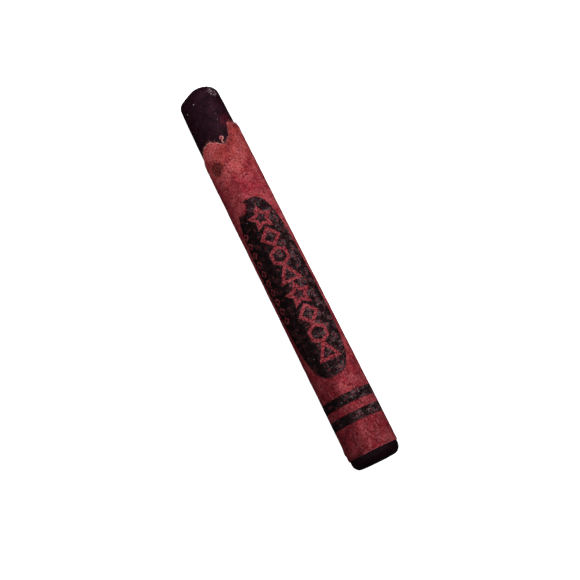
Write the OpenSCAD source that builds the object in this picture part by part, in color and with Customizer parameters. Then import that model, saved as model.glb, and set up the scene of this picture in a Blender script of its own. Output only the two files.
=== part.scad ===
// A used wax crayon lying on its side. A paper label is wound twice round the moulded wax stick,
// and it is torn back near the tip, where the wax is bare and worn.
// +X runs from the base to the tip, +Z is up, and the origin lies on the surface that the crayon
// rests on, under the middle of its length. Angles round the stick start at its top and grow
// towards +Y. Millimetres and degrees.

/* [Wax stick] */
// Length of the stick from its base to its worn tip
stick_length = 65; // [60:0.1:92]
// Radius of the wax at its base
base_radius = 3.76; // [3.2:0.02:5]
// Half angle of the taper that lets the stick leave its mould
taper_angle = 0.25; // [0:0.05:0.5]
// Radius of the rounded edge at the base
base_edge = 1.05; // [0.4:0.05:2]
// Wax rubbed off the radius at the bare end by handling
handling_wear = 0.13; // [0:0.01:0.4]

/* [Worn tip] */
// Radius of the dome that drawing has left at the tip
tip_dome = 5.2; // [3.6:0.1:8]
// Radius of the edge round the dome
tip_edge = 1.3; // [0.4:0.1:2]
// Slope of the flat worn on the dome, towards +Y and upwards
flat_slope = 0.7; // [0.3:0.05:0.9]
// Direction that the flat faces, round the stick
flat_direction = 51; // [0:1:90]
// Depth of the flat: how far beyond the tip its plane crosses the axis
flat_crossing = 0.52; // [0.3:0.01:1]

/* [Paper label] */
// Thickness of the paper
paper = 0.12; // [0.06:0.01:0.16]
// Flats that one turn of the sheet settles into
turn_flats = 30; // [24:2:96]
// Flats that the sheet covers in all: two turns and a short lap
sheet_flats = 62; // [50:1:96]
// Bare wax between the base and the label
label_start = 1.7; // [0.5:0.1:6]
// Flats between the one that the crayon lies on and the sheet's outer edge
seam_flats = 4; // [1:1:8]
// How much further than the outer turn the inner turn reaches at the torn end
inner_reach = 0.3; // [0:0.1:1]
// Size of the nick in the label's cut edge
nick = 0.4; // [0:0.1:1]

/* [Paste and scrap] */
// Thickness of the dried paste under each turn
paste = 0.02; // [0.01:0.01:0.04]
// Outer radius of the curled shred at the torn edge
curl_radius = 0.42; // [0.3:0.02:0.6]

/* [Hidden] */
$fn = 96;

// Torn end of the label on its outer turn: angle round the stick, and distance from the base
tear = [
    [-90, 56.6], [-68, 56.9], [-40, 56.6], [-31, 55.6], [-25, 54.6], [-9, 53.8], [12, 54.7],
    [26, 55.2], [45, 54.9], [60, 54.3], [73, 53.2], [90, 52.5], [125, 53.7], [150, 54.8],
    [185, 55], [215, 54.3], [245, 55.4], [270, 56.6]
];
wear_start = 55;          // where the handling wear begins
tip_land = 2;             // length of the worn taper's end, behind the dome
nick_angle = 17;
nick_width = 6;           // degrees
flat = 360 / turn_flats;  // angle of one flat
turns = sheet_flats / turn_flats;
seam_angle = 180 + flat * (seam_flats + 0.5);
pitch = paper + paste / 2;
slack = paste / 4;        // room on each side of the paste film
film_margin = 0.4;        // unpasted paper at the cut end
bead_margin = 0.5;        // the same along the seam
torn_margin = 2;          // unpasted paper at the torn end
bead_angle = 0.3;         // degrees from the seam to the bead of paste
bead_width = 1.6 * paper;
bead_height = 0.8 * paper;
curl_angle = -8;
curl_place = 54.95;
curl_height = 0.34;
curl_wall = 0.17;
curl_opening = 0.8 * curl_radius;

function wax_radius(x) = base_radius - x * tan(taper_angle);
function worn_radius(x) = wax_radius(x)
    - handling_wear * min(1, max(0, (x - wear_start) / (stick_length - tip_land - wear_start)));
function arc(cx, cy, r, from, to, steps = 10) =
    [for (i = [0:steps]) let (a = from + (to - from) * i / steps) [cx + r * cos(a), cy + r * sin(a)]];

// After s turns, the angle and radius of the sheet's inner face. It keeps its radius until it meets
// its own inner edge, and climbs onto that within one flat. It ends at the seam.
function wound_angle(s) = seam_angle - 360 * (turns - s);
function climbed(s) = let (ahead = s + 1 / turn_flats)
    max(0, floor(ahead) - 1 + min(1, (ahead - floor(ahead)) * turn_flats));
function wound_radius(x, s) = wax_radius(x) + paste + pitch * climbed(s);

// The radius of a fold between two flats, whose middles are where a round sheet would be
function fold(r) = r / cos(flat / 2);
function around(a) = a - 360 * floor((a + 90) / 360);
function torn_end(s) = lookup(around(wound_angle(s)), tear)
    + (s < turns - 1 ? inner_reach : inner_reach * max(0, 1 - 12 * (s - turns + 1)));
function cut_end(s) = label_start
    + nick * max(0, 1 - abs(around(wound_angle(s)) - nick_angle) / nick_width)
    * (s > turns - 1 ? 1 : 0);
function on_stick(x, r, a) = [x, r * sin(a), r * cos(a)];

// The flat at the bottom of the label lies on the surface.
axis_height = wound_radius(label_start, turns - (seam_flats + 0.5) / turn_flats) + paper;

module laid() {
    translate([-stick_length / 2, 0, axis_height]) children();
}

// Turns a profile, drawn as distance from the base against radius, round the stick's axis
module turned(profile) {
    rotate([0, 90, 0]) rotate_extrude() polygon([for (p = profile) [p[1], p[0]]]);
}

// The moulded wax, with a flat base, rounded edges, a domed tip and a flat worn on the dome
module wax_stick() {
    tip_radius = worn_radius(stick_length);
    edge_at = asin((tip_radius - tip_edge) / (tip_dome - tip_edge));
    dome_centre = stick_length - tip_dome;
    edge_centre = dome_centre + (tip_dome - tip_edge) * cos(edge_at);
    profile = concat(
        [[0, 0]],
        arc(base_edge, base_radius - base_edge, base_edge, 180, 90),
        [[wear_start, wax_radius(wear_start)]],
        arc(edge_centre, tip_radius - tip_edge, tip_edge, 90, edge_at),
        arc(dome_centre, 0, tip_dome, edge_at, 0)
    );
    color("#1f0c14") laid() difference() {
        turned(profile);
        translate([stick_length + flat_crossing, 0, 0])
            rotate([-flat_direction, 0, 0])
            rotate([0, atan(-flat_slope), 0])
            translate([0, -10, -10])
            cube([10, 20, 20]);
    }
}

// One sheet wound round the stick, cut square at the base end and torn at the tip end
module paper_label() {
    // Four corners at each fold: inside and outside at the cut end, then outside and inside at the tear
    corners = [for (i = [0:sheet_flats]) let (
        s = i / turn_flats, a = wound_angle(s), low = cut_end(s), high = torn_end(s))
        each [
            on_stick(low, fold(wound_radius(low, s)), a),
            on_stick(low, fold(wound_radius(low, s) + paper), a),
            on_stick(high, fold(wound_radius(high, s) + paper), a),
            on_stick(high, fold(wound_radius(high, s)), a)
        ]];
    sides = [for (i = [0:sheet_flats - 1], k = [0:3]) let (
        p = 4 * i + k, q = 4 * i + (k + 1) % 4)
        each [[p, q, q + 4], [p, q + 4, p + 4]]];
    last = 4 * sheet_flats;
    ends = [[2, 1, 0], [3, 2, 0], [last, last + 1, last + 2], [last, last + 2, last + 3]];
    color("#9c3740") laid() polyhedron(corners, concat(sides, ends));
}

// Dried paste between the wax and the inner turn of the label
module wrap_paste() {
    start = label_start + film_margin;
    end = wear_start - torn_margin;
    color("#d8c6b4") laid() turned([
        [start, wax_radius(start) + slack], [end, wax_radius(end) + slack],
        [end, wax_radius(end) + paste - slack], [start, wax_radius(start) + paste - slack]
    ]);
}

// The line of dried paste along the sheet's outer edge
module seam_paste() {
    start = label_start + bead_margin;
    end = wear_start - torn_margin - 1;
    from = seam_angle + bead_angle;
    corners = [for (x = [start, end]) let (r = fold(wound_radius(x, turns - 1) + paper) + slack)
        each [
            on_stick(x, r, from),
            on_stick(x, r + bead_height, from),
            on_stick(x, r, from + bead_width / r * 180 / PI)
        ]];
    color("#e4d5c0") laid() polyhedron(corners,
        [[0, 1, 2], [5, 4, 3], [0, 3, 4], [0, 4, 1], [1, 4, 5], [1, 5, 2], [2, 5, 3], [2, 3, 0]]);
}

// A shred of the label that tearing has curled into a ring, standing on the wax
module torn_curl() {
    floor_radius = wax_radius(curl_place) + slack;
    color("#c9757a") laid() difference() {
        rotate([-curl_angle, 0, 0]) translate([curl_place, 0, 0]) {
            difference() {
                cylinder(r = curl_radius, h = floor_radius + curl_height, $fn = 32);
                cylinder(r = curl_radius - curl_wall, h = 2 * floor_radius, $fn = 32);
                translate([-curl_radius, -2 * curl_radius, 0])
                    cube([curl_opening, 2 * curl_radius, 2 * floor_radius]);
            }
        }
        turned([[0, 0], [0, floor_radius], [stick_length, floor_radius], [stick_length, 0]]);
    }
}

wax_stick();
paper_label();
wrap_paste();
seam_paste();
torn_curl();
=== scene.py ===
"""A used wax crayon lying on its side: a dark wax stick with a worn tip, and the printed paper
label that is wound twice round it and torn back near the tip."""

import math
import random

import bmesh
import bpy
from bpy.props import FloatProperty, FloatVectorProperty, IntProperty, PointerProperty
from mathutils import Matrix, Vector, noise


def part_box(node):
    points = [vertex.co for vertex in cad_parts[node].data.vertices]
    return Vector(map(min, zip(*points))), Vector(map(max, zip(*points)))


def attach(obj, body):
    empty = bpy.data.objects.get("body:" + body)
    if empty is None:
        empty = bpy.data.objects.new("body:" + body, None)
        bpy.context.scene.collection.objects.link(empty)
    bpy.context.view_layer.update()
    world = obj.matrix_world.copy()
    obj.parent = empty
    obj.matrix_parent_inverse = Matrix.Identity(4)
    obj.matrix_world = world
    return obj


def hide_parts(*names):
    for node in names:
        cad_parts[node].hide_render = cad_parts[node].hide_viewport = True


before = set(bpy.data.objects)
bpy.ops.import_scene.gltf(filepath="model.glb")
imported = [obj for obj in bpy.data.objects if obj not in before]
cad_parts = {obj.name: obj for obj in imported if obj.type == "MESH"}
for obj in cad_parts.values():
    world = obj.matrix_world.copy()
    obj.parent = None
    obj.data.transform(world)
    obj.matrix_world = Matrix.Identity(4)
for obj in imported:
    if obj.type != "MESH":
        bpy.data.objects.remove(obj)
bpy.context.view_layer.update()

bl_info = {
    "name": "Used Crayon",
    "version": (1, 0, 0),
    "blender": (4, 5, 0),
    "location": "3D View > Sidebar > Crayon",
    "description": "Builds a used wax crayon with a torn paper label round the packed frame",
    "category": "Add Mesh",
}

MM = 0.001
BODY = "root"
STICK_LOW, STICK_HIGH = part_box("wax_stick")
LABEL_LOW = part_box("paper_label")[0]
CURL_LOW, CURL_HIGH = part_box("torn_curl")
AXIS_HEIGHT = (STICK_LOW.z + STICK_HIGH.z) / 2
# In millimetres: the radius that angles on the label's flat sheet are measured at, where handling
# starts to thin the bare wax, and between which two places the bare end starts to lean
FLAT_RADIUS = 3.9
WORN_FROM = 55.0
LEANS_FROM, LEANS_TO = 50.0, 58.0


def linear(code):
    """The linear colour of a screen colour such as 0xRRGGBB."""
    parts = [(code >> shift & 255) / 255 for shift in (16, 8, 0)]
    return tuple(c / 12.92 if c < 0.04045 else ((c + 0.055) / 1.055) ** 2.4 for c in parts)


def length(name, description, metres):
    return FloatProperty(
        name=name, description=description, default=metres, min=0.0, precision=5, unit="LENGTH"
    )


def angle(name, description, degrees):
    return FloatProperty(
        name=name, description=description, default=math.radians(degrees), unit="ROTATION"
    )


def colour(name, description, code):
    return FloatVectorProperty(
        name=name, description=description, subtype="COLOR", size=3, min=0.0, max=1.0,
        default=linear(code),
    )


class StickSettings(bpy.types.PropertyGroup):
    """The moulded wax."""

    total: length("Length", "Length of the stick, base to tip", STICK_HIGH.x - STICK_LOW.x)
    radius: length("Radius", "Radius of the wax at the base", (STICK_HIGH.y - STICK_LOW.y) / 2)
    taper: angle("Taper", "Half angle of the moulded taper", 0.25)
    base_edge: length("Base edge", "Radius of the rounded edge at the base", 1.05 * MM)
    rubbed: length("Rubbed", "Wax rubbed off the radius at the bare end", 0.13 * MM)
    dome: length("Dome", "Radius of the worn dome at the tip", 5.2 * MM)
    tip_edge: length("Tip edge", "Radius of the edge round the dome", 1.75 * MM)
    flat_slope: FloatProperty(name="Flat slope", description="Slope of the worn flat", default=0.7)
    flat_turn: angle("Flat direction", "Where the flat faces, round the stick", 51)
    flat_at: length("Flat crossing", "How far beyond the tip the flat crosses the axis", 0.72 * MM)
    flat_edge: length("Flat edge", "How softly the flat runs out", 0.4 * MM)
    bulge: length("Bulge", "How far the wax stands out at the base", 0.12 * MM)
    lean: length("Lean", "How far the bare end leans sideways", 0.05 * MM)
    dark: colour("Wax", "Colour of the wax in the mass", 0x14040A)
    # The colour that the wax darkens to towards the base
    darker_base_wax: colour("Handled wax", "Wax near the base, dark with handling", 0x080204)
    # Purple of scuffed wax, also used as a painted sheen on the -Y side
    bloom_and_sheen: colour("Bloom", "Purple where the wax is scuffed", 0x3A1A28)
    dust: colour("Dust", "Pale dust and paper crumbs on the wax", 0xA08A92)
    tinge: colour("Tinge", "Red paper fibre left on the wax", 0x6E1C2C)
    # Powdery wax on the worn flat, also used as a painted reflection along the flat's lip
    flat_powder_and_reflection: colour("Rubbed flat", "Powdery wax on the flat that drawing wore", 0x6C6066)


class LabelSettings(bpy.types.PropertyGroup):
    """The paper sheet and its print."""

    paper: length("Paper", "Thickness of the paper", 0.12 * MM)
    paste: length("Paste", "Thickness of the dried paste under each turn", 0.02 * MM)
    fold: length("Fold", "Height of the folds in the paper", 0.1 * MM)
    turns: FloatProperty(name="Turns", description="Times the sheet goes round", default=62 / 30)
    seam: angle("Seam", "Where the sheet's outer edge lies, round the stick", 234)
    columns: IntProperty(name="Columns", description="Mesh columns round the sheet", default=206)
    rows: IntProperty(name="Rows", description="Mesh rows along the sheet", default=227)
    panel_middle: length("Panel middle", "Middle of the printed panel, from the base", 29.1 * MM)
    panel_half: length("Panel half length", "Half the length of the panel", 15.2 * MM)
    panel_reach: length("Panel half height", "Half the panel's height on the flat", 4.45 * MM)
    crimson: colour("Crimson", "Colour of the printed paper", 0x96162C)
    brick: colour("Brick", "Redder patches of the paper", 0xA2242A)
    shade: colour("Deep crimson", "Darker fibres", 0x520A16)
    worn: colour("Worn crimson", "Paler, scuffed fibres", 0xD0666C)
    salmon: colour("Salmon", "Faded paper near the torn end", 0xB44A38)
    core: colour("Paper core", "Unprinted fibre that a tear shows", 0xD59A98)
    # Bare fibre at creases and the cut rim, also used as a painted highlight along the fold crests
    salmon_core: colour("Worn crease", "Fibre laid bare along a crease", 0xC4626A)
    # The colour that the paper darkens to on its +Y side and towards the base
    darker_tone: colour("Grime", "Wax and dirt soaked into the paper", 0x300408)
    stain: colour("Stain", "Brown spot near the torn end", 0x34100C)
    ink: colour("Ink", "Near-black print", 0x060304)
    # Ink rubbed thin, also used as a painted sheen on the ink's -Y side
    grey: colour("Rubbed ink", "Ink that is rubbed thin", 0x7A6E70)
    mauve: colour("Mauve ink", "Ink that is rubbed down to the fibres", 0x6E2E3E)
    dust: colour("Dust", "Pale specks on the ink", 0xA39297)
    paste_dark: colour("Dark paste", "Paste soaked with wax", 0x5A2A26)
    paste_pale: colour("Pale paste", "Clean dried paste", 0x94705E)


class StageSettings(bpy.types.PropertyGroup):
    """Camera and light."""

    distance: length("Distance", "From the crayon to the camera", 200 * MM)
    aim: length("Aim", "Point on the axis that the camera looks at, from the base", 30.43 * MM)
    sideways: length("Sideways", "How far to the +Y side the camera looks", 0.05 * MM)
    tilt: angle("Tilt", "Lean of the view towards the base", 11.2)
    roll: angle("Roll", "Turn of the camera about its view", 116.43)
    lens: FloatProperty(
        name="Lens", description="Focal length", default=80.69, subtype="DISTANCE_CAMERA"
    )
    floor: colour("Floor", "Pale floor", 0xF4F4F4)


# Shape helpers. Shapes are made in millimetres from the base, with the axis on X, and are laid down
# last.


def mm(metres):
    return metres / MM


def smooth(value, low, high):
    """0 at low and 1 at high, with a soft start and end."""
    t = min(1.0, max(0.0, (value - low) / (high - low)))
    return t * t * (3 - 2 * t)


def on_stick(x, r, a):
    """The point x from the base and r from the axis, at angle a from the top of the stick."""
    return Vector((x, r * math.sin(a), r * math.cos(a)))


def arc(x, r, radius, start, end, steps):
    """Profile points on an arc, as distance from the base against radius. Angles in degrees."""
    turns = (math.radians(start + (end - start) * i / steps) for i in range(steps + 1))
    return [(x + radius * math.cos(t), r + radius * math.sin(t)) for t in turns]


def wax_radius(stick, x):
    return mm(stick.radius) - x * math.tan(stick.taper)


def lay_down(bm):
    """Takes a shape in millimetres to its place in the frame."""
    place = Matrix.Translation((STICK_LOW.x, 0, AXIS_HEIGHT)) @ Matrix.Scale(MM, 4)
    bmesh.ops.transform(bm, matrix=place, verts=bm.verts)


def piece(name, bm, material, slot, *nodes):
    """Makes the finished mesh an object that rides on the body and stands for its CAD nodes."""
    for face in bm.faces:
        face.smooth = True
    lay_down(bm)
    mesh = bpy.data.meshes.new(name)
    bm.to_mesh(mesh)
    bm.free()
    mesh.materials.append(material)
    made = bpy.data.objects.new(name, mesh)
    bpy.context.scene.collection.objects.link(made)
    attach(made, BODY)
    if nodes:
        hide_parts(*nodes)
    return made


# Material helpers


def node(tree, kind, inputs=(), **settings):
    """Adds a shader node, with its settings, and its inputs as numbers or other nodes' outputs."""
    made = tree.nodes.new("ShaderNode" + kind)
    for name, value in settings.items():
        setattr(made, name, value)
    for name, value in dict(inputs).items():
        if isinstance(value, bpy.types.NodeSocket):
            tree.links.new(value, made.inputs[name])
        else:
            made.inputs[name].default_value = value
    return made


def calc(tree, operation, *values, clamp=False):
    """The result of a Math node."""
    values = dict(enumerate(values))
    return node(tree, "Math", values, operation=operation, use_clamp=clamp).outputs[0]


def plus(tree, first, second):
    return calc(tree, "ADD", first, second)


def minus(tree, first, second):
    return calc(tree, "SUBTRACT", first, second)


def times(tree, first, second):
    return calc(tree, "MULTIPLY", first, second)


def scaled(tree, value, factor, offset):
    """The value times a factor, plus an offset."""
    return calc(tree, "MULTIPLY_ADD", value, factor, offset)


def largest(tree, first, *others):
    for other in others:
        first = calc(tree, "MAXIMUM", first, other)
    return first


def between(tree, value, low, high, to_low=0.0, to_high=1.0):
    """A soft step from to_low, where value is low, to to_high, where it is high."""
    values = {
        "Value": value, "From Min": low, "From Max": high, "To Min": to_low, "To Max": to_high
    }
    return node(tree, "MapRange", values, interpolation_type="SMOOTHSTEP").outputs[0]


def mix(tree, share, first, second):
    """Share of the second colour over the first."""
    values = {0: share, 6: rgba(first), 7: rgba(second)}
    return node(tree, "Mix", values, data_type="RGBA").outputs[2]


def rgba(value):
    return value if isinstance(value, bpy.types.NodeSocket) else (*value, 1.0)


def cloud(tree, place, scale, detail=3.0, roughness=0.55, distortion=0.0):
    """Noise from 0 to 1 at so many lumps a millimetre."""
    values = {
        "Vector": place, "Scale": scale, "Detail": detail,
        "Roughness": roughness, "Distortion": distortion,
    }
    return node(tree, "TexNoise", values).outputs["Fac"]


def group(name, inputs, outputs, build):
    """A shader node group, made once, with float inputs and outputs and a vector Place."""
    if name in bpy.data.node_groups:
        return bpy.data.node_groups[name]
    made = bpy.data.node_groups.new(name, "ShaderNodeTree")
    made.interface.new_socket("Place", in_out="INPUT", socket_type="NodeSocketVector")
    for label, value in inputs.items():
        socket = made.interface.new_socket(label, in_out="INPUT", socket_type="NodeSocketFloat")
        socket.default_value = value
    for label in outputs:
        made.interface.new_socket(label, in_out="OUTPUT", socket_type="NodeSocketFloat")
    start = made.nodes.new("NodeGroupInput")
    end = made.nodes.new("NodeGroupOutput")
    for label, socket in build(made, start.outputs).items():
        made.links.new(socket, end.inputs[label])
    return made


def use(tree, shared, place, **values):
    """Places a shader node group, with its own values, and returns its one output."""
    made = tree.nodes.new("ShaderNodeGroup")
    made.node_tree = shared
    tree.links.new(place, made.inputs["Place"])
    for name, value in values.items():
        label = name.replace("_", " ").capitalize()
        if isinstance(value, bpy.types.NodeSocket):
            tree.links.new(value, made.inputs[label])
        else:
            made.inputs[label].default_value = value
    return made.outputs[0]


def speckle_group():
    """Scattered round specks: Size across and Spacing in millimetres, and the Share of places that
    hold one."""

    def build(tree, given):
        density = calc(tree, "DIVIDE", 1.0, given["Spacing"])
        cells = node(tree, "TexVoronoi", {"Vector": given["Place"], "Scale": density}).outputs
        drawn = node(tree, "SeparateColor", {"Color": cells["Color"]}).outputs[0]
        chosen = calc(tree, "LESS_THAN", drawn, given["Share"])
        reach = calc(tree, "DIVIDE", given["Size"], times(tree, given["Spacing"], 2.0))
        spot = between(tree, cells["Distance"], reach, times(tree, reach, 0.4))
        return {"Mask": times(tree, spot, chosen)}

    return group("Specks", {"Size": 0.1, "Spacing": 0.5, "Share": 0.3}, ["Mask"], build)


def fibre_group():
    """Matted fibres of a Length and a Width in millimetres, lying three ways, broken and uneven."""

    def build(tree, given):
        found = []
        for turn in (0.35, 1.45, 2.5):
            values = {"Vector": given["Place"], "Angle": turn}
            turned = node(tree, "VectorRotate", values, rotation_type="Z_AXIS").outputs[0]
            parts = node(tree, "SeparateXYZ", {"Vector": turned}).outputs
            stretched = node(tree, "CombineXYZ", {
                "X": calc(tree, "DIVIDE", parts[0], given["Length"]),
                "Y": calc(tree, "DIVIDE", parts[1], given["Width"]),
                "Z": plus(tree, parts[2], turn),
            }).outputs[0]
            wave = cloud(tree, stretched, 0.5, detail=1.0, distortion=0.8)
            off = calc(tree, "ABSOLUTE", minus(tree, wave, 0.5))
            off = times(tree, given["Sharpness"], off)
            ridge = calc(tree, "SUBTRACT", 1.0, off, clamp=True)
            broken = between(tree, cloud(tree, turned, 0.9, detail=2.0), 0.42, 0.62)
            found.append(times(tree, ridge, broken))
        return {"Height": largest(tree, *found)}

    return group("Fibres", {"Length": 0.8, "Width": 0.12, "Sharpness": 9.0}, ["Height"], build)


def mottle_group():
    """Blotches of a Size in millimetres, from 0 to 1, made steeper by Contrast."""

    def build(tree, given):
        density = calc(tree, "DIVIDE", 1.0, given["Size"])
        wave = cloud(tree, given["Place"], density, detail=4.0)
        steep = times(tree, minus(tree, wave, 0.5), given["Contrast"])
        return {"Value": calc(tree, "ADD", steep, 0.5, clamp=True)}

    return group("Mottle", {"Size": 1.0, "Contrast": 3.0}, ["Value"], build)


def outline_group():
    """The outline of a star or a regular figure round Place. Half sector is the angle from a point
    to the next inner corner, and the edge between them is the line that Edge x and y face."""

    def build(tree, given):
        parts = node(tree, "SeparateXYZ", {"Vector": given["Place"]}).outputs
        squares = [times(tree, part, part) for part in parts[:2]]
        far = calc(tree, "POWER", plus(tree, *squares), 0.5)
        bearing = calc(tree, "ARCTAN2", parts[0], parts[1])
        folded = calc(tree, "PINGPONG", bearing, given["Half sector"])
        facing = plus(
            tree,
            times(tree, calc(tree, "COSINE", folded), given["Edge x"]),
            times(tree, calc(tree, "SINE", folded), given["Edge y"]),
        )
        off = minus(tree, times(tree, far, facing), given["Edge distance"])
        outer, inner = (times(tree, given["Stroke"], share) for share in (0.65, 0.35))
        return {"Mask": between(tree, calc(tree, "ABSOLUTE", off), outer, inner)}

    inputs = {
        "Half sector": 0.6, "Edge x": 1.0, "Edge y": 0.0, "Edge distance": 1.0, "Stroke": 0.45
    }
    return group("Figure Outline", inputs, ["Mask"], build)


def new_material(name, **constants):
    """A material with one Principled shader, and its even finish set on the shader itself."""
    made = bpy.data.materials.new(name)
    made.use_nodes = True
    shader = made.node_tree.nodes["Principled BSDF"]
    for label, value in constants.items():
        shader.inputs[label.replace("_", " ")].default_value = value
    return made, made.node_tree, shader


def place_in_mm(tree):
    """Object coordinates in millimetres."""
    here = node(tree, "TexCoord").outputs["Object"]
    return node(tree, "Mapping", {"Vector": here, "Scale": (1 / MM,) * 3}).outputs[0]


def finish(tree, shader, base, rough, height, distance):
    """Links colour and roughness, and the height as a bump of that many millimetres."""
    tree.links.new(base, shader.inputs["Base Color"])
    tree.links.new(rough, shader.inputs["Roughness"])
    bump = node(tree, "Bump", {"Height": height, "Distance": distance * MM, "Strength": 1.0})
    tree.links.new(bump.outputs[0], shader.inputs["Normal"])


def patch_round(tree, place, middle, inner, outer, ragged):
    """1 within inner millimetres of a middle and 0 beyond outer, with an edge that a value from 0
    to 1 makes ragged."""
    moved = node(tree, "Mapping", {"Vector": place, "Location": [-c for c in middle]}).outputs[0]
    far = node(tree, "VectorMath", {0: moved}, operation="LENGTH").outputs["Value"]
    far = plus(tree, far, times(tree, minus(tree, ragged, 0.5), inner))
    return between(tree, far, outer, inner)


def wax_material(stick):
    """Dark pigmented wax: purple bloom where it is scuffed, which is also a painted sheen on the -Y
    side, fine scratches, dust and crumbs, and a painted reflection along the worn flat's lip.
    """
    made, tree, shader = new_material("Crayon wax", Specular_IOR_Level=0.04)
    place = place_in_mm(tree)
    forward, sideways, _ = node(tree, "SeparateXYZ", {"Vector": place}).outputs
    tip, high = mm(STICK_HIGH.x), mm(AXIS_HEIGHT)
    blotch = use(tree, mottle_group(), place, size=1.5, contrast=4.0)
    coarse_grain = use(tree, mottle_group(), place, size=0.7, contrast=4.0)
    grain = use(tree, mottle_group(), place, size=0.22, contrast=5.0)
    scratch = use(tree, fibre_group(), place, length=3.0, width=0.09)
    streaks = use(tree, fibre_group(), place, length=5.0, width=0.3, sharpness=3.0)
    fine = use(tree, speckle_group(), place, size=0.09, spacing=0.26, share=0.16)
    coarse = use(tree, speckle_group(), place, size=0.2, spacing=1.1, share=0.22)

    # The wax is darker towards the base.
    near_base = between(tree, forward, tip - 30.0, tip - 60.0, 0.0, 0.85)
    base = mix(tree, near_base, stick.dark, stick.darker_base_wax)
    # The purple bloom is partly real scuffing and partly a painted sheen. It is strongest on the -Y
    # side, where the key light falls.
    bloom_and_sheen = times(tree, blotch, scaled(tree, grain, 0.8, 0.05))
    bloom_and_sheen = times(tree, bloom_and_sheen, between(tree, sideways, 1.2, -1.5, 0.12, 1.0))
    bloom_and_sheen = times(tree, bloom_and_sheen, between(tree, forward, -30.0, 20.0, 0.15, 1.0))
    base = mix(tree, bloom_and_sheen, base, stick.bloom_and_sheen)
    scored = times(tree, scratch, between(tree, forward, -30.0, 20.0, 0.1, 0.35))
    base = mix(tree, scored, base, stick.bloom_and_sheen)

    # The flat that drawing wore is powdery, with fine streaks and a broken pale lip. The lip and
    # part of the powder are a painted grazing reflection.
    worn = node(tree, "Attribute", attribute_name="worn").outputs["Fac"]
    powder_reflection_mask = scaled(tree, streaks, 0.25, times(tree, grain, 0.3))
    powder_reflection_mask = times(tree, powder_reflection_mask, between(tree, coarse_grain, 0.2, 0.8, 0.1, 0.8))
    inside = between(tree, worn, 1.0, 0.85, 0.0, 0.6)
    lip_wear_and_reflection = times(tree, between(tree, worn, 0.15, 0.6), inside)
    lip_wear_and_reflection = times(tree, lip_wear_and_reflection, between(tree, coarse_grain, 0.3, 0.8, 0.1, 0.9))
    base = mix(tree, largest(tree, lip_wear_and_reflection, times(tree, worn, powder_reflection_mask)), base, stick.flat_powder_and_reflection)

    # Pale dust sticks beside the tip, and red fibres where the label was torn off.
    settled = patch_round(tree, place, (tip - 2.1, -2.4, high + 2.25), 0.5, 1.1, coarse_grain)
    settled = times(tree, settled, between(tree, grain, 0.45, 0.8, 0.0, 0.75))
    base = mix(tree, settled, base, stick.dust)
    pulled = patch_round(tree, place, (tip - 7.6, -2.4, high + 2.5), 0.6, 1.6, coarse_grain)
    pulled = times(tree, pulled, between(tree, grain, 0.3, 0.8, 0.05, 0.4))
    base = mix(tree, pulled, base, stick.tinge)
    fine = times(tree, fine, times(tree, blotch, 0.5))
    dusty = largest(tree, fine, times(tree, coarse, 0.45))
    base = mix(tree, dusty, base, stick.dust)

    rough = plus(tree, 0.45, times(tree, grain, 0.25))
    height = plus(tree, times(tree, grain, 0.6), times(tree, scratch, -0.25))
    height = plus(tree, height, times(tree, dusty, 0.8))
    finish(tree, shader, base, rough, height, 0.03)
    return made


def figure_edge(sides, radius, dent):
    """Half sector, and the direction and distance of one edge, of a figure with that many points.
    Dent is the radius of its inner corners as a share of its points' radius, or None for a plain
    regular figure."""
    half = math.pi / sides
    inner = radius * (math.cos(half) if dent is None else dent)
    along = Vector((inner * math.cos(half) - radius, inner * math.sin(half))).normalized()
    return half, along.y, -along.x, along.y * radius


# The figures that repeat along the panel, all of one height and one step apart: number of points,
# radius and dent
FIGURES = ((5, 1.65, 0.5), (4, 1.4, None), (6, 1.4, None), (3, 1.65, None))
FIGURE_COUNT = 8
FIGURE_STEP = 3.3


def printed(tree, flat, label):
    """Where ink lies on the flat sheet, before wear, and the figures left open in it. Flat is
    across, then along, in millimetres."""
    across, along, _ = node(tree, "SeparateXYZ", {"Vector": flat}).outputs

    def band(start, end, soft=0.07):
        return times(tree, between(tree, along, start - soft, start + soft),
                     between(tree, along, end + soft, end - soft))

    def share(value, middle, half):
        off = calc(tree, "DIVIDE", minus(tree, value, middle), half)
        return calc(tree, "POWER", calc(tree, "ABSOLUTE", off), 2.65)

    bands = largest(tree, band(6.5, 8.05), band(9.35, 10.95))
    middle = mm(label.panel_middle)
    inside = plus(tree, share(along, middle, mm(label.panel_half)),
                  share(across, 0.0, mm(label.panel_reach)))
    panel = between(tree, inside, 1.03, 0.97)
    lines = []
    for i in range(FIGURE_COUNT):
        sides, radius, dent = FIGURES[i % len(FIGURES)]
        half, edge_x, edge_y, edge_distance = figure_edge(sides, radius, dent)
        place_along = middle + FIGURE_STEP * ((FIGURE_COUNT - 1) / 2 - i)
        moved = node(
            tree, "Mapping", {"Vector": flat, "Location": (0.5, -place_along, 0.0)}
        ).outputs[0]
        lines.append(use(
            tree, outline_group(), moved, half_sector=half, edge_x=edge_x, edge_y=edge_y,
            edge_distance=edge_distance, stroke=0.48,
        ))

    # A row of small diamonds beside the figures
    start, end, pitch = 24.0, 40.0, 1.6
    step = calc(tree, "FLOORED_MODULO", minus(tree, along, start), pitch)
    step = calc(tree, "ABSOLUTE", minus(tree, step, pitch / 2))
    side = calc(tree, "ABSOLUTE", minus(tree, across, 3.35))
    edge = calc(tree, "ABSOLUTE", minus(tree, plus(tree, step, side), 0.5))
    in_row = times(tree, between(tree, along, start, start + 0.1),
                   between(tree, along, end, end - 0.1))
    marks = times(tree, between(tree, edge, 0.18, 0.08), in_row)
    open_print = largest(tree, largest(tree, *lines), times(tree, marks, 0.65))
    panel = times(tree, panel, minus(tree, 1.0, open_print))
    return largest(tree, bands, panel), open_print


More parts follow.
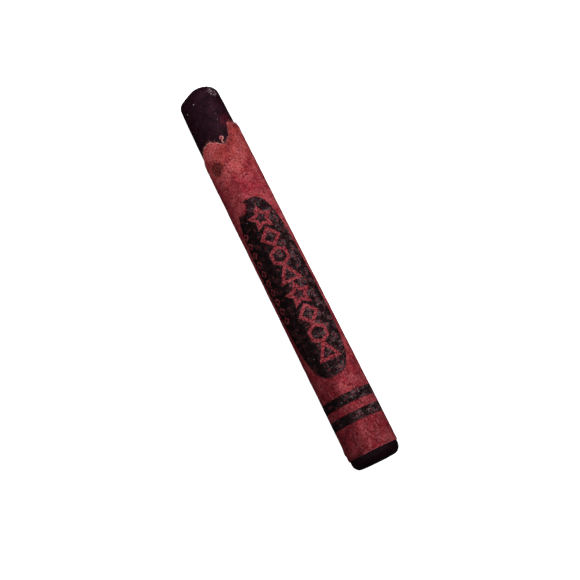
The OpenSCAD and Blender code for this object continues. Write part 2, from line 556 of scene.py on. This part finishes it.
def paper_material(label):
    """Matted crimson paper with near-black print that is rubbed, flaked and faded."""
    made, tree, shader = new_material("Crayon label paper", Specular_IOR_Level=0.03)
    flat = node(tree, "UVMap", uv_map="flat").outputs[0]
    across, along, _ = node(tree, "SeparateXYZ", {"Vector": flat}).outputs
    tear, cut, crest = (
        node(tree, "Attribute", attribute_name=name).outputs["Fac"]
        for name in ("from_tear", "from_cut", "crest")
    )
    # The print's edges, pits and flecks wander with the fibres.
    wander = node(tree, "TexNoise", {"Vector": flat, "Scale": 3.5, "Detail": 4.0}).outputs["Color"]
    values = {0: wander, 1: (0.5, 0.5, 0.5)}
    wander = node(tree, "VectorMath", values, operation="SUBTRACT").outputs[0]
    moved, inked = (
        node(tree, "VectorMath", {0: wander, 1: (much, much, 0.0), 2: flat},
             operation="MULTIPLY_ADD").outputs[0] for much in (0.6, 0.3)
    )
    hue, patch, grain, tooth = (
        use(tree, mottle_group(), flat, size=size, contrast=contrast)
        for size, contrast in ((3.2, 4.0), (1.1, 4.0), (0.3, 5.0), (0.25, 6.5))
    )
    fibre = use(tree, fibre_group(), flat, length=2.4, width=0.36, sharpness=5.0)
    fine = use(tree, fibre_group(), moved, length=1.2, width=0.22, sharpness=6.0)
    pits = use(tree, speckle_group(), moved, size=0.4, spacing=0.44, share=0.5)
    flecks = use(tree, speckle_group(), moved, size=0.32, spacing=0.52, share=0.42)
    crumbs = use(tree, speckle_group(), flat, size=0.22, spacing=0.9, share=0.13)
    raised = largest(tree, fibre, times(tree, fine, 0.9))

    def over(amount, shade):
        """The base with a colour laid over it, by an amount from 0 to 1."""
        return mix(tree, amount, base, shade)

    base = mix(tree, hue, label.crimson, label.brick)
    faded = between(tree, plus(tree, along, times(tree, hue, 4.0)), 48.0, 55.0)
    base = over(times(tree, faded, 0.65), label.salmon)
    base = over(times(tree, patch, between(tree, along, 2.0, 30.0, 0.9, 0.55)), label.shade)
    hollow = largest(tree, times(tree, pits, scaled(tree, patch, 0.4, 0.25)),
                     between(tree, grain, 0.4, 0.0, 0.0, 0.55))
    base = over(hollow, label.shade)
    scuff = times(tree, raised, between(tree, hue, 0.1, 0.9, 0.25, 0.65))
    flecks = times(tree, flecks, between(tree, grain, 0.2, 0.8, 0.1, 0.6))
    base = over(largest(tree, scuff, flecks), label.worn)
    low = times(tree, between(tree, tooth, 0.45, 0.0, 0.0, 0.6),
                between(tree, patch, 0.2, 0.8, 0.3, 1.0))
    base = over(low, label.shade)
    high = times(tree, between(tree, tooth, 0.6, 1.0, 0.0, 0.5),
                 between(tree, hue, 0.1, 0.8, 0.4, 1.0))
    base = over(high, label.worn)
    base = over(times(tree, crumbs, 0.6), label.core)
    # Fold crests are paler, partly bare fibre and partly a painted highlight. A painted shade
    # darkens the foot of each fold.
    ridge = times(tree, between(tree, crest, 0.3, 0.85), scaled(tree, tooth, 0.5, 0.1))
    base = over(ridge, label.salmon_core)
    fold_foot_shade = times(tree, between(tree, crest, 0.0, 0.25), between(tree, crest, 0.5, 0.25, 0.0, 0.5))
    base = over(fold_foot_shade, label.shade)

    # The paper is darker on the +Y side past a soft, uneven edge near the top, and darker towards
    # the base; the stain lies near the torn end.
    edge = plus(tree, across, scaled(tree, patch, -0.8, 0.3))
    darker_side = times(tree, between(tree, edge, -0.1, 0.7), between(tree, across, 9.0, 6.0))
    darker_side = times(tree, darker_side, between(tree, along, 52.0, 46.0, 0.25, 1.0))
    darker_side = times(tree, darker_side, between(tree, along, 50.0, 4.0, 0.45, 0.7))
    base = over(largest(tree, darker_side, between(tree, along, 26.0, 3.0, 0.05, 0.4)), label.darker_tone)
    spot = times(tree, plus(tree, grain, patch), 0.5)
    stain = patch_round(tree, flat, (2.55, 50.9, 0.0), 0.9, 1.5, spot)
    base = over(times(tree, stain, between(tree, tooth, 0.9, 0.3, 0.6, 0.95)), label.stain)

    # The open figures are scuffed, and the ink is rubbed thin, dusty and flaked. The greyer ink is
    # strongest on the -Y side: partly real rubbing, partly a painted sheen where the key light
    # falls.
    ink, drawn = printed(tree, inked, label)
    base = over(times(tree, drawn, between(tree, grain, 0.2, 0.9, 0.1, 0.5)), label.worn)
    base = over(times(tree, drawn, between(tree, grain, 0.7, 0.1, 0.35, 0.85)), label.shade)
    rub_and_sheen = between(tree, plus(tree, across, patch), 2.2, -0.4, 0.1, 0.85)
    thin = largest(tree, between(tree, tooth, 0.6, 0.95), times(tree, fine, 0.5))
    thin = times(tree, thin, times(tree, rub_and_sheen, between(tree, patch, 0.25, 0.8, 0.15, 0.85)))
    faint = mix(tree, between(tree, grain, 0.2, 0.8), label.grey, label.mauve)
    black = mix(tree, thin, label.ink, faint)
    black = mix(tree, times(tree, crumbs, scaled(tree, rub_and_sheen, 0.5, 0.35)), black, label.dust)
    flake = times(tree, between(tree, grain, 0.7, 0.95), between(tree, patch, 0.5, 0.9, 0.05, 0.6))
    ragged = times(tree, plus(tree, grain, pits), 0.5)
    chip = patch_round(tree, flat, (1.9, 43.6, 0.0), 0.8, 1.2, ragged)
    held = times(tree, ink, minus(tree, 1.0, largest(tree, flake, chip)))
    base = over(held, black)

    # The torn and cut edges show the paper's pale core, and wax and dirt smear the torn edge. A
    # painted shadow darkens the cut edge on the +Y side.
    reach = scaled(tree, patch, 0.22, 0.06)
    clean = between(tree, across, -0.8, 0.2, 0.3, 1.0)
    bare = times(tree, between(tree, calc(tree, "DIVIDE", tear, reach), 1.0, 0.3),
                 times(tree, clean, scaled(tree, tooth, 0.4, 0.35)))
    base = over(bare, label.core)
    smear = times(tree, between(tree, tear, 1.3, 0.2), minus(tree, 1.0, clean))
    base = over(times(tree, smear, between(tree, grain, 0.45, 0.85)), label.ink)
    rim = times(tree, between(tree, cut, 0.2, 0.05), between(tree, across, 1.4, 0.2, 0.12, 0.6))
    base = over(times(tree, rim, scaled(tree, tooth, 0.6, 0.4)), label.salmon_core)
    cut_edge_shadow = times(tree, between(tree, cut, 0.9, 0.0), between(tree, across, 0.4, 2.0))
    base = over(times(tree, cut_edge_shadow, between(tree, grain, 0.3, 0.7, 0.2, 0.85)), label.ink)

    rough = minus(tree, 0.85, times(tree, held, 0.25))
    height = plus(tree, times(tree, raised, 0.8), times(tree, grain, 0.6))
    height = minus(tree, height, times(tree, pits, 0.5))
    finish(tree, shader, base, rough, height, 0.09)
    return made


def torn_material(label):
    """Pale pink paper fibre, as a tear leaves it."""
    made, tree, shader = new_material("Torn paper", Specular_IOR_Level=0.1)
    place = place_in_mm(tree)
    grain = use(tree, mottle_group(), place, size=0.2, contrast=3.0)
    fibre = use(tree, fibre_group(), place, length=0.5, width=0.07)
    base = mix(tree, grain, label.brick, label.core)
    rough = minus(tree, 0.95, times(tree, fibre, 0.1))
    finish(tree, shader, base, rough, plus(tree, fibre, grain), 0.02)
    return made


def paste_material(label):
    """Dried starch paste, dull and slightly yellow."""
    made, tree, shader = new_material("Dried paste", Specular_IOR_Level=0.4)
    place = place_in_mm(tree)
    grain = use(tree, mottle_group(), place, size=0.3, contrast=2.5)
    cracks = use(tree, fibre_group(), place, length=0.9, width=0.05)
    base = mix(tree, grain, label.paste_dark, label.paste_pale)
    finish(tree, shader, base, scaled(tree, grain, 0.3, 0.45), minus(tree, grain, cracks), 0.02)
    return made


def crumb_material(stick):
    """Crumbs of wax and dusty paper."""
    made, tree, shader = new_material("Crumbs", Specular_IOR_Level=0.3)
    grain = use(tree, mottle_group(), place_in_mm(tree), size=0.5, contrast=5.0)
    base = mix(tree, grain, stick.bloom_and_sheen, stick.dust)
    finish(tree, shader, base, scaled(tree, grain, 0.2, 0.7), grain, 0.02)
    return made


def spun(profile, steps):
    """Turns a profile, as distance from the base against radius, round the axis."""
    bm = bmesh.new()
    line = [bm.verts.new((x, 0.0, r)) for x, r in profile]
    edges = [bm.edges.new(pair) for pair in zip(line, line[1:])]
    bmesh.ops.spin(
        bm, geom=line + edges, cent=(0, 0, 0), axis=(1, 0, 0), angle=math.tau, steps=steps,
        use_merge=True,
    )
    bmesh.ops.remove_doubles(bm, verts=bm.verts, dist=1e-5)
    bmesh.ops.recalc_face_normals(bm, faces=bm.faces)
    return bm


def thick_grid(columns, rows, maps=(), values=()):
    """A grid over the unit square, doubled into a closed sheet with UV maps and values of these
    names, and the corners of its far side."""
    bm = bmesh.new()
    bmesh.ops.create_grid(
        bm, x_segments=columns, y_segments=rows, size=0.5,
        matrix=Matrix.Translation((0.5, 0.5, 0.0)),
    )
    # The layers come first, because a new one would spoil the set of corners.
    for name in maps:
        bm.loops.layers.uv.new(name)
    for name in values:
        bm.verts.layers.float.new(name)
    grown = bmesh.ops.extrude_face_region(bm, geom=bm.faces[:])
    return bm, {v for v in grown["geom"] if isinstance(v, bmesh.types.BMVert)}


def evenly(start, end, step):
    """Numbers from start towards end, one step apart or less, without the end."""
    count = max(1, math.ceil(abs(end - start) / step))
    return [start + (end - start) * i / count for i in range(count)]


def stick_profile(stick):
    """The stick from the middle of its base to the tip, fine where the wax is bare."""
    total, radius, edge = mm(stick.total), mm(stick.radius), mm(stick.base_edge)
    dome, tip_edge = mm(stick.dome), mm(stick.tip_edge)
    tip_radius = wax_radius(stick, total) - mm(stick.rubbed)
    meet = math.degrees(math.asin((tip_radius - tip_edge) / (dome - tip_edge)))
    edge_x = total - dome + (dome - tip_edge) * math.cos(math.radians(meet))

    def side(x):
        worn = mm(stick.rubbed) * min(1.0, max(0.0, (x - WORN_FROM) / (edge_x - WORN_FROM)))
        return (x, wax_radius(stick, x) - worn)

    barrel = evenly(edge, 3.0, 0.12) + evenly(3.0, 51.0, 1.5) + evenly(51.0, edge_x, 0.1)
    return (
        [(0.0, r) for r in evenly(0.0, radius - edge, 0.12)]
        + arc(edge, radius - edge, edge, 180, 90, 18)[:-1]
        + [side(x) for x in barrel]
        + arc(edge_x, tip_radius - tip_edge, tip_edge, 90, meet, 18)[:-1]
        + arc(total - dome, 0.0, dome, meet, 0, 26)[:-1]
        + [(total, 0.0)]
    )


# Dents in the bare wax: distance from the base, angle in degrees, radius and depth in millimetres
DENTS = (
    (59.4, 8, 0.9, 0.07), (61.8, -28, 0.7, 0.09), (60.5, 40, 1.1, 0.06), (57.8, -52, 0.8, 0.05),
    (62.9, 12, 0.6, 0.06), (58.6, 118, 1.0, 0.1), (61.2, 160, 0.8, 0.08), (59.0, 215, 1.2, 0.1),
    (62.0, 265, 0.8, 0.07), (0.5, 70, 0.8, 0.08), (0.4, 200, 1.0, 0.12), (0.6, -60, 0.6, 0.07),
)


def wear_wax(bm, stick):
    """Leans, flattens, dents and roughens the bare wax."""
    slope = Vector((1.0, stick.flat_slope * math.sin(stick.flat_turn),
                    stick.flat_slope * math.cos(stick.flat_turn)))
    reach = mm(stick.total) + mm(stick.flat_at)
    size = slope.length
    slope.normalize()
    bm.normal_update()
    worn = bm.verts.layers.float.new("worn")
    soft = mm(stick.flat_edge)
    rng = random.Random(7)
    pits = [(rng.uniform(56.0, 63.4), rng.uniform(-180, 180), rng.uniform(0.2, 0.45),
             rng.uniform(0.02, 0.06)) for _ in range(44)]
    moves = []
    for v in bm.verts:
        p = v.co.copy()
        bare = max(smooth(p.x, 52.0, 55.0), smooth(p.x, 2.0, 1.6))
        if not bare:
            continue
        push = 0.03 * noise.noise(p * 0.45) + 0.014 * noise.noise(p * 1.7 + Vector((9, 0, 0)))
        push += 0.012 * noise.noise(p * 3.6) + 0.008 * noise.noise(p * 7.5)
        push += mm(stick.bulge) * smooth(p.x, 1.8, 1.6) * smooth(p.x, 0.4, 1.4)
        for x, a, radius, depth in (*DENTS, *pits):
            near = (p - on_stick(x, wax_radius(stick, x), math.radians(a))).length / radius
            if near < 1:
                push -= depth * (1 - near * near) ** 2
        moves.append((v, p + v.normal * push * bare))
    for v, p in moves:
        p.y += mm(stick.lean) * smooth(p.x, LEANS_FROM, LEANS_TO)
        beyond = p.dot(slope) - reach / size
        v[worn] = smooth(beyond + 0.08 * noise.noise(p * 1.9), -0.16, 0.1)
        beyond = (beyond + math.hypot(beyond, soft)) / 2
        p -= slope * (beyond - 0.012 * noise.noise(p * 3.1) * v[worn])
        v.co = p
    bm.normal_update()


class CRAYON_OT_wax_stick(bpy.types.Operator):
    """Build the moulded wax stick with its worn tip"""

    bl_idname = "crayon.wax_stick"
    bl_label = "Wax Stick"

    def execute(self, context):
        stick = context.scene.crayon_stick
        bm = spun(stick_profile(stick), 220)
        wear_wax(bm, stick)
        piece("wax_stick_worn", bm, wax_material(stick), "wax", "wax_stick")
        return {"FINISHED"}


# Torn end of the outer turn: angle round the stick in degrees, and distance from the base
TEAR = (
    (-90, 56.6), (-68, 56.9), (-40, 56.6), (-31, 55.6), (-25, 54.6), (-9, 53.8), (12, 54.7),
    (26, 55.2), (45, 54.9), (60, 54.3), (73, 53.2), (90, 52.5), (125, 53.7), (150, 54.8),
    (185, 55.0), (215, 54.3), (245, 55.4), (270, 56.6),
)


def tear_line(a, outer):
    """Where the label ends at angle a, in radians, on the outer or the inner turn."""
    degrees = (math.degrees(a) + 90) % 360 - 90
    for (start, low), (end, high) in zip(TEAR, TEAR[1:]):
        if start <= degrees <= end:
            x = low + (high - low) * smooth(degrees, start, end)
            break
    ring = Vector((math.cos(a), math.sin(a), 0.0)) * FLAT_RADIUS
    if not outer:
        fuzz = smooth(abs(degrees + 47), 16, 8)
        shift = Vector((0, 0, 40))
        return x + 0.1 + 0.45 * fuzz + 0.16 * noise.noise(ring * 1.3 + shift) + 0.1 * noise.noise(
            ring * 4.0 + shift)
    rough = 1 + 1.6 * smooth(abs(degrees + 24), 18, 6)
    return (x + 0.14 * noise.noise(ring * 1.1) + rough * (
        0.1 * noise.noise(ring * 3.1) + 0.06 * noise.noise(ring * 8.0)))


def row_place(t, start, end):
    """Distance from the base of a row of the sheet: rows crowd at the cut and at the tear."""
    fine_start, fine_end, near, far = 6.0, 3.4, 0.19, 0.74
    if t < near:
        return start + fine_start * t / near
    if t < far:
        middle = end - fine_end - start - fine_start
        return start + fine_start + middle * (t - near) / (far - near)
    return end - fine_end * (1 - t) / (1 - far)


def climbed(turned):
    """How many plies lie under the sheet after so many turns. It steps up where it laps itself."""
    whole = math.floor(turned + 1 / 36)
    return max(0.0, whole - 1 + smooth((turned + 1 / 36 - whole) * 36, 0.0, 1.0)) if whole else 0.0


# Folds near the cut end and a few bruises: points as distance from the base and along the flat
FOLDS = (
    ((2.2, -2.2), (2.3, -2.9), (2.9, -3.6), (3.4, -3.7), (3.9, -3.5)),
    ((2.4, -2.1), (2.9, -1.8), (3.1, -1.2)),
    ((3.4, -1.0), (4.2, -0.4), (4.9, -0.3)),
    ((4.2, -1.4), (4.9, -1.3)),
    ((4.6, -2.2), (5.2, -2.0)),
    ((4.9, -2.7), (5.5, -2.6)),
    ((2.3, 0.0), (3.4, -0.2)),
    ((2.5, 1.2), (3.9, 1.6), (5.1, 1.3), (6.1, 1.8)),
    ((9.3, 2.2), (10.7, 1.9), (12.2, 2.2)),
    ((47.8, -0.4), (48.3, -1.6)),
    ((49.3, 0.5), (50.9, 0.6)),
    ((50.1, -2.8), (51.7, -2.3)),
    ((3.0, 6.0), (4.5, 7.2), (6.5, 7.0)),
    ((30.0, 9.0), (33.5, 10.1), (38.0, 9.6)),
    ((47.0, 12.2), (50.0, 11.0), (52.5, 11.6)),
)


def fold_height(x, across):
    """Height of the folds at a place on the outer turn."""
    high = 0.0
    here = Vector((x, across))
    for fold in FOLDS:
        if not fold[0][0] - 1 < x < fold[-1][0] + 2:
            continue
        for start, end in zip(fold, fold[1:]):
            start, along = Vector(start), Vector(end) - Vector(start)
            t = min(1.0, max(0.0, (here - start).dot(along) / along.length_squared))
            off = (here - start - along * t).length
            high = max(high, smooth(off, 0.34, 0.0))
    return high


def crumple(x, a):
    """How far the paper stands off the stick: swells, sharp wrinkles and bruises, never inwards."""
    p = on_stick(x, FLAT_RADIUS, a)
    swell = max(0.0, noise.noise(p * 0.32 + Vector((3, 0, 0)))) * 0.05
    wrinkle = noise.ridged_multi_fractal(p * 0.42, 1.0, 2.1, 4, 1.0, 1.6) * 0.016
    ripple = max(0.0, noise.noise(p * 1.6 + Vector((0, 8, 0)))) * 0.03
    return swell + max(0.0, wrinkle) + ripple


def wound_sheet(stick, label):
    """The sheet as a grid, given its thickness, wound round the stick and torn."""
    turns, seam, paper = label.turns, label.seam, mm(label.paper)
    pitch = paper + mm(label.paste) / 2
    start = mm(LABEL_LOW.x - STICK_LOW.x)
    # The first turn is hidden, so it takes only this share of the columns.
    hidden, hidden_turns = 0.26, 1.02
    names = ("from_tear", "from_cut", "crest")
    bm, outer_face = thick_grid(label.columns, label.rows, ["flat"], names)
    flat = bm.loops.layers.uv["flat"]
    from_tear, from_cut, crest = (bm.verts.layers.float[name] for name in names)
    sheet = {}
    for v in bm.verts:
        if v.co.x < hidden:
            turned = hidden_turns * v.co.x / hidden
        else:
            turned = hidden_turns + (turns - hidden_turns) * (v.co.x - hidden) / (1 - hidden)
        a = seam - math.tau * (turns - turned)
        on_top = turned > turns - 1
        end = tear_line(a, on_top)
        degrees = math.degrees(a)
        nick = 0.5 * smooth(degrees, 9, 11.5) * smooth(degrees, 24, 17)
        cut = start + nick + 0.03 * noise.noise(Vector((degrees * 0.3, turned, 0)))
        x = row_place(v.co.y, cut, end)
        across = a * FLAT_RADIUS
        v[from_tear], v[from_cut] = end - x, x - cut
        sheet[v] = (across, x)
        r = wax_radius(stick, x) + mm(label.paste) + pitch * climbed(turned) + crumple(x, a)
        if on_top:
            lift = smooth(end - x, 1.1, 0.0)
            r += lift * (0.03 + 0.12 * max(0.0, noise.noise(on_stick(0, 2.2, a))))
            v[crest] = fold_height(x, across)
            r += mm(label.fold) * v[crest]
            # The cut end is pressed down and rounded by handling.
            r -= 0.06 * smooth(x - cut, 0.35, 0.0)
        seam_lift = smooth(turned, turns - 0.012, turns)
        r += 0.05 * seam_lift * (0.5 + noise.noise(Vector((x * 0.5, 7, 0))))
        thin = smooth(end - x, 0.0, 0.32) * smooth(x - cut, -0.05, 0.12)
        thick = paper * (0.35 + 0.65 * thin)
        v.co = on_stick(x, r + (thick if v in outer_face else 0.0), a)
    for face in bm.faces:
        for loop in face.loops:
            loop[flat].uv = sheet[loop.vert]
    bmesh.ops.recalc_face_normals(bm, faces=bm.faces)
    return bm


class CRAYON_OT_paper_label(bpy.types.Operator):
    """Build the printed label, wound round the stick and torn"""

    bl_idname = "crayon.paper_label"
    bl_label = "Paper Label"

    def execute(self, context):
        stick, label = context.scene.crayon_stick, context.scene.crayon_label
        bm = wound_sheet(stick, label)
        piece("paper_label_torn", bm, paper_material(label), "label_paper", "paper_label")
        return {"FINISHED"}


def strand(bm, points, radius):
    """A thin three-sided thread drawn out along points, closed and narrowed at its end."""
    facing = (points[1] - points[0]).to_track_quat("Z", "Y").to_matrix().to_4x4()
    ring = bmesh.ops.create_circle(
        bm, cap_ends=True, segments=3, radius=radius, matrix=Matrix.Translation(points[0]) @ facing
    )["verts"]
    end = ring[0].link_faces[0]
    for last, now in zip(points, points[1:]):
        grown = bmesh.ops.extrude_face_region(bm, geom=[end])["geom"]
        ring = [part for part in grown if isinstance(part, bmesh.types.BMVert)]
        end = next(part for part in grown if isinstance(part, bmesh.types.BMFace))
        bmesh.ops.translate(bm, vec=now - last, verts=ring)
    bmesh.ops.scale(bm, vec=(0.35,) * 3, space=Matrix.Translation(-points[-1]), verts=ring)


def torn_fibres(stick, label):
    """Loose fibres along the torn edge, combed towards the tip."""
    rng = random.Random(11)
    bm = bmesh.new()
    for _ in range(420):
        a = rng.uniform(0, math.tau)
        outer = rng.random() < 0.6
        x = tear_line(a, outer) - rng.uniform(0.0, 0.15)
        ply = 1 if outer else 0
        r = wax_radius(stick, x) + (mm(label.paper) + mm(label.paste)) * ply + 0.05
        reach = rng.uniform(0.12, 0.5) * (1.5 if rng.random() < 0.12 else 1.0)
        drift, rise = rng.gauss(0.0, 0.05), rng.uniform(-0.05, 0.22)
        points = []
        for i in range(4):
            t = i / 3
            points.append(on_stick(
                x + reach * t, r + rise * reach * t + 0.06 * t * t * rng.uniform(-0.3, 1),
                a + drift * t + 0.03 * rng.gauss(0, 1) * t,
            ))
        strand(bm, points, rng.uniform(0.009, 0.018))
    bmesh.ops.recalc_face_normals(bm, faces=bm.faces)
    return bm


def curled_shred(stick):
    """A shred of the label curled into a loop, standing on the wax with its tail at the tear."""
    middle = (CURL_LOW + CURL_HIGH) / 2
    x = mm(middle.x - STICK_LOW.x)
    a = math.atan2(middle.y, middle.z - AXIS_HEIGHT)
    loop_radius, wall, tall = 0.27, 0.21, 0.28
    round_share, opening, swept = 0.74, 150, 330
    bm, outside = thick_grid(56, 8)
    noise.seed_set(3)
    for v in bm.verts:
        t, up = v.co.x, v.co.y
        if t < round_share:
            turn = math.radians(opening + swept * (1 - t / round_share))
            facing = Vector((math.cos(turn), math.sin(turn)))
            centre = facing * loop_radius * (0.82 + 0.18 * t / round_share)
        else:
            tail = (t - round_share) / (1 - round_share)
            turn = math.radians(opening)
            facing = Vector((math.cos(turn), math.sin(turn)))
            centre = facing * loop_radius - Vector((0.66, 0.1)) * tail
            facing = facing.lerp(Vector((0.1, 1.0)), smooth(tail, 0, 0.6)).normalized()
        thick = wall * (0.55 + 0.45 * smooth(up, 1.0, 0.7)) * (0.5 if v in outside else -0.5)
        centre += facing * thick
        height = wax_radius(stick, x) - 0.03 + tall * up * (1 - 0.45 * smooth(t, 0.7, 1.0))
        spot = on_stick(x + centre.x, height, a + centre.y / 3.5)
        rough = noise.noise_vector(spot * 4.0) * 0.05 + noise.noise_vector(spot * 12.0) * 0.025
        v.co = spot + rough
    bmesh.ops.recalc_face_normals(bm, faces=bm.faces)
    return bm


class CRAYON_OT_torn_scraps(bpy.types.Operator):
    """Build the curled shred and the loose fibres of the torn edge"""

    bl_idname = "crayon.torn_scraps"
    bl_label = "Torn Scraps"

    def execute(self, context):
        stick, label = context.scene.crayon_stick, context.scene.crayon_label
        torn = torn_material(label)
        piece("curled_shred", curled_shred(stick), torn, "torn_paper", "torn_curl")
        piece("torn_fibres", torn_fibres(stick, label), torn, "torn_paper")
        return {"FINISHED"}


def seam_bead(stick, label):
    """The line of paste that was squeezed out along the sheet's outer edge."""
    start, end, rows = mm(LABEL_LOW.x - STICK_LOW.x) + 0.5, 52.0, 260
    base = 2 * mm(label.paper) + 1.5 * mm(label.paste)
    bm, upper = thick_grid(rows, 4)
    for v in bm.verts:
        x = start + (end - start) * v.co.x
        ooze = max(0.06, 0.35 + 1.1 * noise.noise(Vector((x * 0.8, 0, 5))))
        width = 0.2 * ooze
        tall = 0.1 * min(1.0, ooze) * (1 - v.co.y) ** 1.5 if v in upper else -0.015
        r = wax_radius(stick, x) + base + crumple(x, label.seam) + tall
        v.co = on_stick(x, r, label.seam + (0.01 + width * v.co.y) / 4.0)
    bmesh.ops.recalc_face_normals(bm, faces=bm.faces)
    return bm


class CRAYON_OT_paste(bpy.types.Operator):
    """Build the paste along the seam, and finish the film under the label"""

    bl_idname = "crayon.paste"
    bl_label = "Paste"

    def execute(self, context):
        stick, label = context.scene.crayon_stick, context.scene.crayon_label
        paste = paste_material(label)
        piece("seam_bead", seam_bead(stick, label), paste, "paste", "seam_paste")
        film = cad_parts["wrap_paste"]
        film.data.materials.clear()
        film.data.materials.append(paste)
        return {"FINISHED"}


# Crumbs that show on top of the wax: distance from the base, angle in degrees, radius
CRUMBS = (
    (64.2, -48, 0.06), (64.35, -62, 0.05), (64.5, -40, 0.05), (64.1, -75, 0.07), (64.45, -90, 0.05),
    (57.2, -16, 0.1), (59.0, 19, 0.09), (61.2, 49, 0.1), (61.9, 18, 0.13), (60.4, -24, 0.07),
    (58.1, -22, 0.06), (2.2, -38, 0.07),
)


def wax_crumbs(stick):
    """Crumbs of wax and paper stuck to the bare ends."""
    rng = random.Random(4)
    spots = list(CRUMBS)
    for _ in range(46):
        tip = rng.random() < 0.75
        x = rng.uniform(56.5, 63.0) if tip else rng.uniform(0.9, 1.6)
        spots.append((x, rng.uniform(-180, 180), rng.uniform(0.02, 0.05)))
    bm = bmesh.new()
    for x, degrees, radius in spots:
        a = math.radians(degrees)
        worn = mm(stick.rubbed) * min(1.0, max(0.0, (x - WORN_FROM) / 7.0))
        from_middle = x - mm(stick.total) + mm(stick.dome)
        on_dome = math.sqrt(max(0.0, mm(stick.dome) ** 2 - from_middle ** 2))
        r = min(wax_radius(stick, x) - worn, on_dome if x > 63.5 else math.inf)
        middle = on_stick(x, r + radius * 0.25, a)
        middle.y += mm(stick.lean) * smooth(x, LEANS_FROM, LEANS_TO)
        lump = bmesh.ops.create_icosphere(bm, subdivisions=1, radius=radius)["verts"]
        for v in lump:
            v.co *= 1 + 0.45 * noise.noise(v.co * 9 + middle)
        bmesh.ops.translate(bm, vec=middle, verts=lump)
    return bm


class CRAYON_OT_crumbs(bpy.types.Operator):
    """Scatter the crumbs that stick to the bare wax"""

    bl_idname = "crayon.crumbs"
    bl_label = "Crumbs"

    def execute(self, context):
        stick = context.scene.crayon_stick
        piece("wax_crumbs", wax_crumbs(stick), crumb_material(stick), "wax")
        return {"FINISHED"}


def area_light(name, place, target, size, power):
    lamp = bpy.data.lights.new(name, "AREA")
    lamp.shape = "DISK"
    lamp.size = size
    lamp.energy = power
    made = bpy.data.objects.new(name, lamp)
    made.location = place
    made.rotation_euler = (Vector(target) - Vector(place)).to_track_quat("-Z", "Y").to_euler()
    bpy.context.scene.collection.objects.link(made)


class CRAYON_OT_stage(bpy.types.Operator):
    """Lay the pale floor, light it softly and place the camera"""

    bl_idname = "crayon.stage"
    bl_label = "Stage"

    def execute(self, context):
        stage, scene = context.scene.crayon_stage, context.scene
        bm = bmesh.new()
        bmesh.ops.create_grid(bm, x_segments=1, y_segments=1, size=3.0)
        mesh = bpy.data.meshes.new("floor")
        bm.to_mesh(mesh)
        bm.free()
        pale, _, shader = new_material("Floor", Roughness=0.9, Specular_IOR_Level=0.1)
        shader.inputs["Base Color"].default_value = (*stage.floor, 1.0)
        shader.inputs["Emission Color"].default_value = (1.0, 1.0, 1.0, 1.0)
        shader.inputs["Emission Strength"].default_value = 0.8
        mesh.materials.append(pale)
        floor = bpy.data.objects.new("floor", mesh)
        floor.visible_diffuse = floor.visible_glossy = False
        scene.collection.objects.link(floor)

        middle = (0.0, 0.0, AXIS_HEIGHT)
        area_light("key", (0.08, -0.33, 0.52), middle, 0.6, 4.3)
        area_light("fill", (-0.05, 0.42, 0.46), middle, 0.6, 2.2)
        world = bpy.data.worlds.new("Studio")
        scene.world = world
        world.use_nodes = True
        tree = world.node_tree
        seen = node(tree, "LightPath").outputs["Is Camera Ray"]
        strength = between(tree, seen, 0.0, 1.0, 0.04, 1.0)
        tree.links.new(strength, tree.nodes["Background"].inputs["Strength"])
        tree.nodes["Background"].inputs["Color"].default_value = (1.0, 1.0, 1.0, 1.0)

        target = Vector((STICK_LOW.x + stage.aim, stage.sideways, AXIS_HEIGHT))
        back = Vector((-math.sin(stage.tilt), 0.0, math.cos(stage.tilt)))
        along = Vector((math.cos(stage.tilt), 0.0, math.sin(stage.tilt)))
        across = Vector((0.0, 1.0, 0.0))
        right = along * math.cos(stage.roll) - across * math.sin(stage.roll)
        up = along * math.sin(stage.roll) + across * math.cos(stage.roll)
        lens = bpy.data.cameras.new("camera")
        lens.lens = stage.lens
        lens.clip_start = 0.01
        lens.shift_x, lens.shift_y = 0.0012, -0.0128
        camera = bpy.data.objects.new("camera", lens)
        turn = Matrix((right, up, back)).transposed()
        camera.matrix_world = Matrix.Translation(target + back * stage.distance) @ turn.to_4x4()
        scene.collection.objects.link(camera)
        scene.camera = camera
        scene.view_settings.view_transform = "Standard"
        return {"FINISHED"}


OPERATORS = (
    CRAYON_OT_stage, CRAYON_OT_wax_stick, CRAYON_OT_paper_label, CRAYON_OT_torn_scraps,
    CRAYON_OT_paste, CRAYON_OT_crumbs,
)


class CRAYON_PT_sidebar(bpy.types.Panel):
    """Lists the crayon's pieces and the stage"""

    bl_idname = "CRAYON_PT_sidebar"
    bl_label = "Used Crayon"
    bl_space_type = "VIEW_3D"
    bl_region_type = "UI"
    bl_category = "Crayon"

    def draw(self, context):
        for operator in OPERATORS:
            self.layout.operator(operator.bl_idname)
        for settings in ("crayon_stick", "crayon_label", "crayon_stage"):
            group_settings = getattr(context.scene, settings)
            for name in type(group_settings).__annotations__:
                self.layout.prop(group_settings, name)


CLASSES = (StickSettings, LabelSettings, StageSettings, *OPERATORS, CRAYON_PT_sidebar)


def register():
    for cls in CLASSES:
        bpy.utils.register_class(cls)
    bpy.types.Scene.crayon_stick = PointerProperty(type=StickSettings)
    bpy.types.Scene.crayon_label = PointerProperty(type=LabelSettings)
    bpy.types.Scene.crayon_stage = PointerProperty(type=StageSettings)


def unregister():
    del bpy.types.Scene.crayon_stage
    del bpy.types.Scene.crayon_label
    del bpy.types.Scene.crayon_stick
    for cls in reversed(CLASSES):
        bpy.utils.unregister_class(cls)


def main():
    register()
    bpy.ops.crayon.stage()
    bpy.ops.crayon.wax_stick()
    bpy.ops.crayon.paper_label()
    bpy.ops.crayon.torn_scraps()
    bpy.ops.crayon.paste()
    bpy.ops.crayon.crumbs()


if __name__ == "__main__":
    main()
